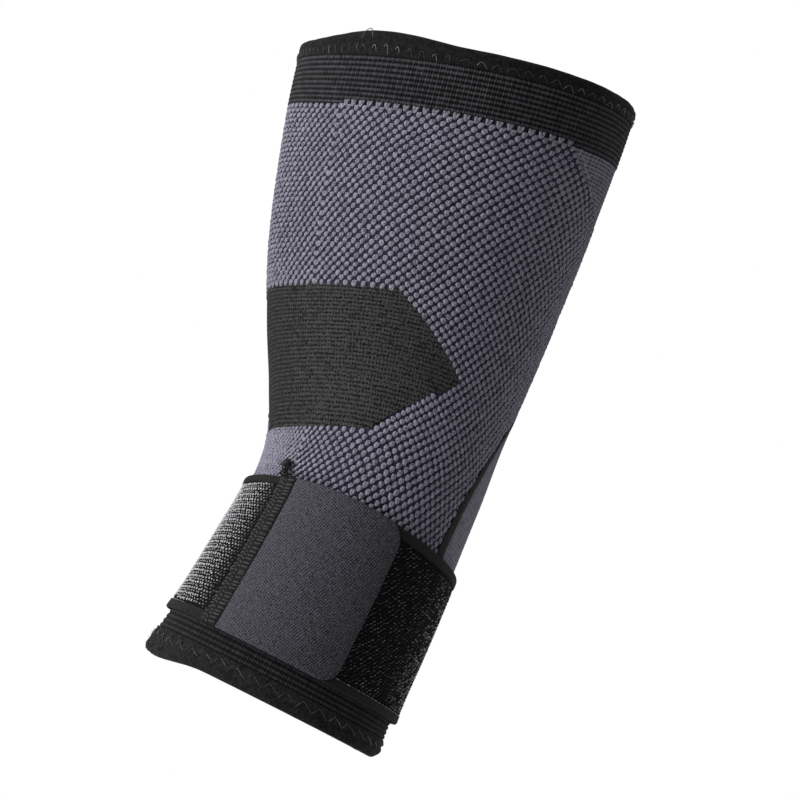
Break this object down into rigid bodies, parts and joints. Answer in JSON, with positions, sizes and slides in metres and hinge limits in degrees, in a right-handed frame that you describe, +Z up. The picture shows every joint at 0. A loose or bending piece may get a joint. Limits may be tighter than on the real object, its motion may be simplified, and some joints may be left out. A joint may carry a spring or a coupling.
{
  "type": "elbow support sleeve",
  "caption": "Knitted compression sleeve for the elbow with ribbed cuffs, a fine knit patch in the crook, a smooth elbow panel and a forearm strap that closes with a hook tab.",
  "frame": {"origin": "where the axes of the upper arm and the forearm cross, inside the sleeve at the elbow", "axes": "+Z up the upper arm; the forearm leans to -X; -Y is the front, the side that the picture shows"},
  "size_m": [0.1207, 0.1086, 0.2316],
  "materials": {
    "bead_knit": "matte raised knit",
    "fine_knit": "matte fine knit",
    "panel_knit": "matte smooth knit",
    "rib_knit": "matte rib knit",
    "hem_knit": "matte rolled hem",
    "loop_pile": "matte loop pile",
    "binding": "satin woven tape",
    "tab_cloth": "satin fine twill"
  },
  "bodies": {
    "root": {"knit_sleeve": "bead_knit", "crook_patch": "fine_knit", "elbow_panel": "panel_knit", "panel_border": "rib_knit", "upper_cuff": "rib_knit", "upper_hem": "hem_knit", "lower_cuff": "rib_knit", "lower_hem": "hem_knit", "forearm_strap": "loop_pile", "strap_binding_upper": "binding", "strap_binding_lower": "binding", "hook_tab": "tab_cloth", "tab_seam": "binding"}
  },
  "joints": []
}
